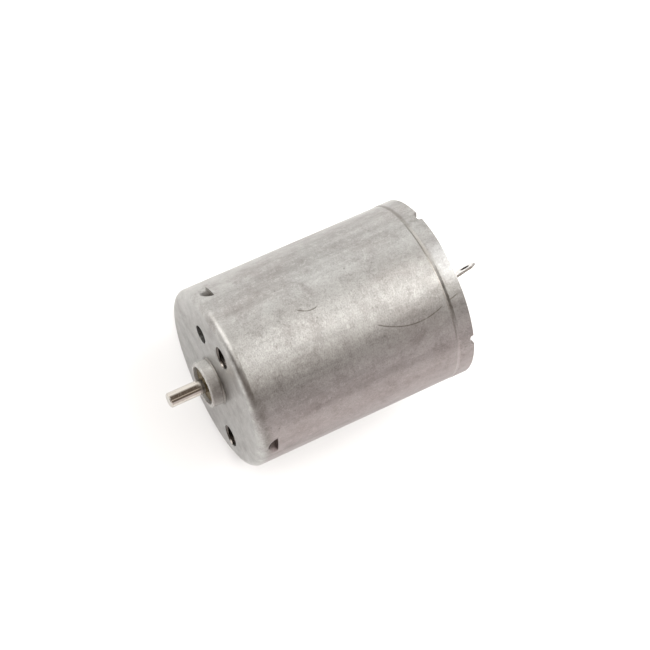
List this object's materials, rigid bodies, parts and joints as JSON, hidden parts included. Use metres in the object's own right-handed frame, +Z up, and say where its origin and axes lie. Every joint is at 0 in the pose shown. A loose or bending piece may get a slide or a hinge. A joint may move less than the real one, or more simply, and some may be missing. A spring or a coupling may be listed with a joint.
{
  "type": "brushed dc motor",
  "caption": "Small brushed permanent-magnet DC motor with a plain round can, front pilot boss, thin output shaft and rear solder tags.",
  "frame": {"origin": "centre of the front mounting face, on the shaft's axis", "axes": "-Y along the shaft towards its free end, +Y towards the terminals, +Z up through the upper terminal, magnets on -X and +X"},
  "size_m": [0.0246, 0.0421, 0.0246],
  "materials": {
    "can_steel": "satin",
    "plate_steel": "satin",
    "shaft_steel": "polished",
    "sintered_bronze": "matte",
    "tinned_brass": "satin",
    "spring_bronze": "satin",
    "spring_steel": "satin",
    "ferrite": "matte",
    "lamination_steel": "satin",
    "insulator_fibre": "matte",
    "copper_wire": "gloss",
    "commutator_copper": "satin",
    "phenolic": "matte",
    "varistor_ceramic": "matte",
    "nylon": "satin",
    "fibre_washer": "matte",
    "moulded_black": "matte",
    "carbon": "matte"
  },
  "bodies": {
    "stator": {"can": "can_steel", "front_bushing": "sintered_bronze", "rear_bushing": "sintered_bronze", "magnet_left": "ferrite", "magnet_right": "ferrite", "magnet_clip_upper": "spring_steel", "magnet_clip_lower": "spring_steel", "end_plate": "plate_steel", "brush_holder": "moulded_black", "terminal_upper": "tinned_brass", "terminal_lower": "tinned_brass", "brush_arm_left": "spring_bronze", "brush_arm_right": "spring_bronze", "brush_left": "carbon", "brush_right": "carbon"},
    "rotor": {"shaft": "shaft_steel", "armature_laminations": "lamination_steel", "front_core_insulator": "insulator_fibre", "rear_core_insulator": "insulator_fibre", "coil_1": "copper_wire", "coil_2": "copper_wire", "coil_3": "copper_wire", "commutator_hub": "phenolic", "commutator_bar_1": "commutator_copper", "commutator_bar_2": "commutator_copper", "commutator_bar_3": "commutator_copper", "ring_varistor": "varistor_ceramic", "front_thrust_washer": "nylon", "front_oil_washer": "fibre_washer", "front_spacer": "nylon", "rear_oil_washer": "fibre_washer", "rear_thrust_washer": "nylon"}
  },
  "joints": [
    {"name": "rotor_spin", "type": "hinge", "parent": "stator", "child": "rotor", "pos_m": [0, 0, 0], "axis": [0, 1, 0], "continuous": true}
  ]
}
